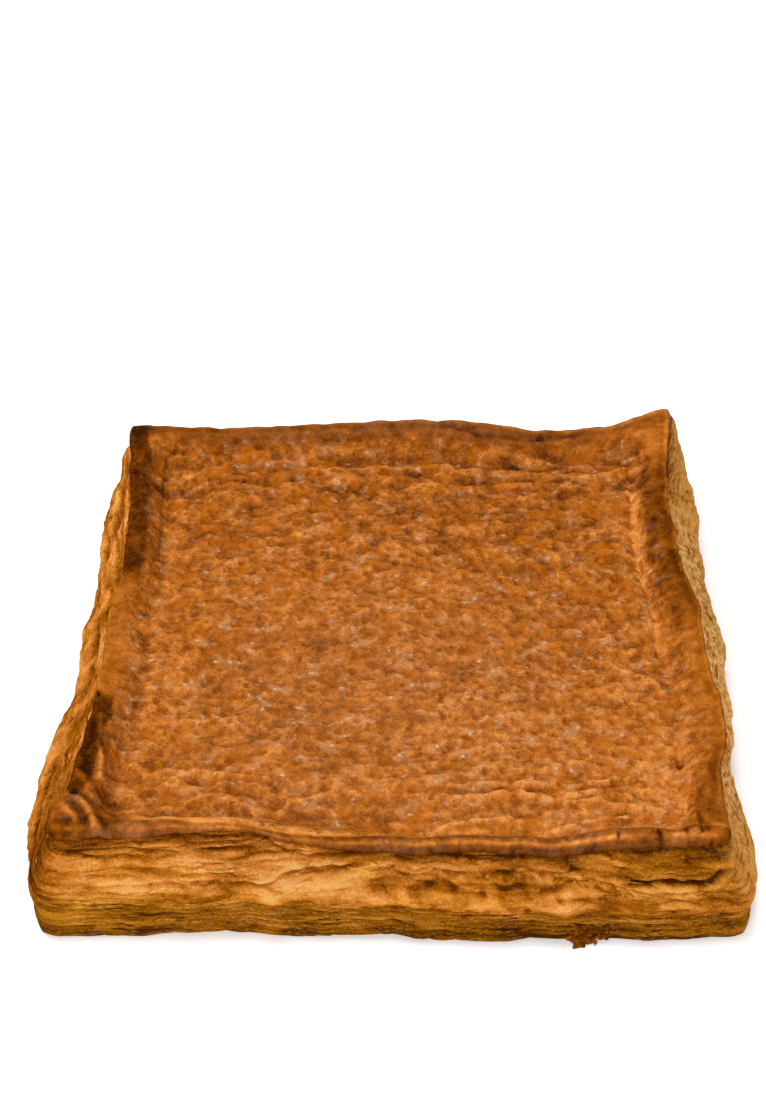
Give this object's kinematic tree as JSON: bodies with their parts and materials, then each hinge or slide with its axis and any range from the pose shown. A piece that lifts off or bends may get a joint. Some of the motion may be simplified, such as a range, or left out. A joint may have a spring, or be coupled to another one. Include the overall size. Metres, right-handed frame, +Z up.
{
  "type": "puff pastry empanada",
  "caption": "Square uncut puff-pastry empanada with a docked, browned lid sunk inside a raised rolled rim, over flaky layered sides that flare out to a flat base.",
  "frame": {"origin": "on the bench, under the middle of the pie's bounding box", "axes": "+Z up through the lid; the front edge, which the picture shows nearest, faces -Y; +X to the right seen from the front"},
  "size_m": [0.3068, 0.308, 0.0536],
  "materials": {
    "crust": "baked puff pastry, egg-washed to a satin gloss on the lid and dry and flaky on the sides"
  },
  "bodies": {
    "root": {"empanada": "crust"}
  },
  "joints": []
}
